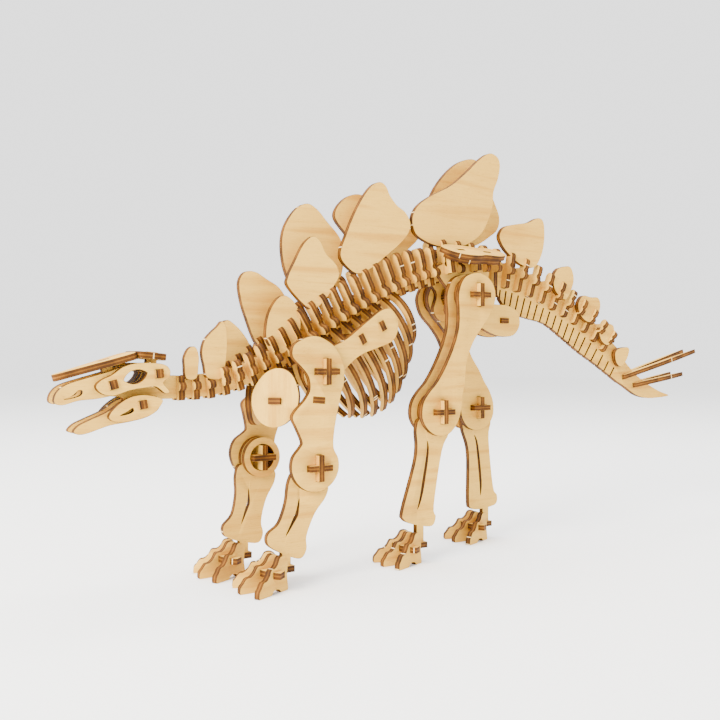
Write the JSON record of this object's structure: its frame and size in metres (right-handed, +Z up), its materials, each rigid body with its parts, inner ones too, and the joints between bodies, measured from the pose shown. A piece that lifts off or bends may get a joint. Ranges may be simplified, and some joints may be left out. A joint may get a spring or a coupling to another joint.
{
  "type": "plywood dinosaur skeleton puzzle",
  "caption": "Slot-together laser-cut birch plywood skeleton model of a plated dinosaur, walking pose, with legs that turn on crossed wooden pegs",
  "frame": {"origin": "The centre of the model's footprint, on the surface that its four feet stand on", "axes": "+X towards the tail, +Y towards the animal's right side, +Z up; the head points to -X"},
  "size_m": [0.3669, 0.0538, 0.1879],
  "materials": {
    "birch_ply": "laser-cut birch plywood, bare sanded face, burnt edge",
    "birch_ply_pale": "the palest sheet of the same plywood",
    "birch_ply_warm": "the warmest sheet of the same plywood"
  },
  "bodies": {
    "skeleton": {"spine_board": "birch_ply_warm", "tail_board": "birch_ply_warm", "snout_plates": "birch_ply", "cheek_plates": "birch_ply_pale", "jaw_plates": "birch_ply", "jaw_cheeks": "birch_ply_pale", "square_pegs": "birch_ply_warm", "roof_front": "birch_ply", "roof_back": "birch_ply", "neck_vertebrae": "birch_ply", "rib_plate_1": "birch_ply", "rib_plate_2": "birch_ply", "rib_plate_3": "birch_ply", "rib_plate_4": "birch_ply", "rib_plate_5": "birch_ply", "rib_plate_6": "birch_ply", "rib_plate_7": "birch_ply", "rib_plate_8": "birch_ply", "rib_plate_9": "birch_ply", "rib_plate_10": "birch_ply", "hip_vertebrae": "birch_ply", "tail_vertebrae": "birch_ply", "left_plate_1": "birch_ply", "left_plate_2": "birch_ply", "left_plate_3": "birch_ply", "left_plate_4": "birch_ply", "left_plate_5": "birch_ply", "left_plate_6": "birch_ply", "right_plate_1": "birch_ply_pale", "right_plate_2": "birch_ply_pale", "right_plate_3": "birch_ply_pale", "right_plate_4": "birch_ply_pale", "right_plate_5": "birch_ply_pale", "tail_plate_1": "birch_ply", "tail_plate_2": "birch_ply", "tail_plate_3": "birch_ply", "tail_plates_small": "birch_ply", "tail_spikes": "birch_ply_warm", "scapulae": "birch_ply_pale", "coracoids": "birch_ply_pale", "girdle_strip": "birch_ply_warm", "pelvis_plates": "birch_ply_warm", "ilium_wings": "birch_ply_pale", "pelvis_strip": "birch_ply_warm"},
    "left_upper_arm": {"left_humerus": "birch_ply", "left_arm_pegs": "birch_ply_warm"},
    "left_forearm": {"left_forearm": "birch_ply", "left_forefoot": "birch_ply"},
    "left_thigh": {"left_femurs": "birch_ply", "left_thigh_pegs": "birch_ply_warm"},
    "left_shin": {"left_shank": "birch_ply", "left_hindfoot": "birch_ply"},
    "right_upper_arm": {"right_humerus": "birch_ply", "right_arm_pegs": "birch_ply_warm"},
    "right_forearm": {"right_forearm": "birch_ply", "right_forefoot": "birch_ply"},
    "right_thigh": {"right_femurs": "birch_ply", "right_thigh_pegs": "birch_ply_warm"},
    "right_shin": {"right_shank": "birch_ply", "right_hindfoot": "birch_ply"}
  },
  "joints": [
    {"name": "left_shoulder", "type": "hinge", "parent": "skeleton", "child": "left_upper_arm", "pos_m": [-0.0815, -0.0166, 0.0844], "axis": [0, 1, 0], "range_deg": [-25, 8]},
    {"name": "left_elbow", "type": "hinge", "parent": "left_upper_arm", "child": "left_forearm", "pos_m": [-0.08485, -0.0166, 0.04605], "axis": [0, 1, 0], "range_deg": [-25, 15]},
    {"name": "left_hip", "type": "hinge", "parent": "skeleton", "child": "left_thigh", "pos_m": [0.0023, -0.0088, 0.1188], "axis": [0, 1, 0], "range_deg": [-25, 4]},
    {"name": "left_knee", "type": "hinge", "parent": "left_thigh", "child": "left_shin", "pos_m": [-0.01905, -0.0102, 0.06595], "axis": [0, 1, 0], "range_deg": [-25, 20]},
    {"name": "right_shoulder", "type": "hinge", "parent": "skeleton", "child": "right_upper_arm", "pos_m": [-0.0815, 0.0166, 0.0844], "axis": [0, 1, 0], "range_deg": [-35, 0]},
    {"name": "right_elbow", "type": "hinge", "parent": "right_upper_arm", "child": "right_forearm", "pos_m": [-0.09403, 0.0166, 0.048], "axis": [0, 1, 0], "range_deg": [-12, 30]},
    {"name": "right_hip", "type": "hinge", "parent": "skeleton", "child": "right_thigh", "pos_m": [0.0023, 0.0088, 0.1188], "axis": [0, 1, 0], "range_deg": [-4, 25]},
    {"name": "right_knee", "type": "hinge", "parent": "right_thigh", "child": "right_shin", "pos_m": [0.02273, 0.0102, 0.06559], "axis": [0, 1, 0], "range_deg": [-40, 4]}
  ]
}
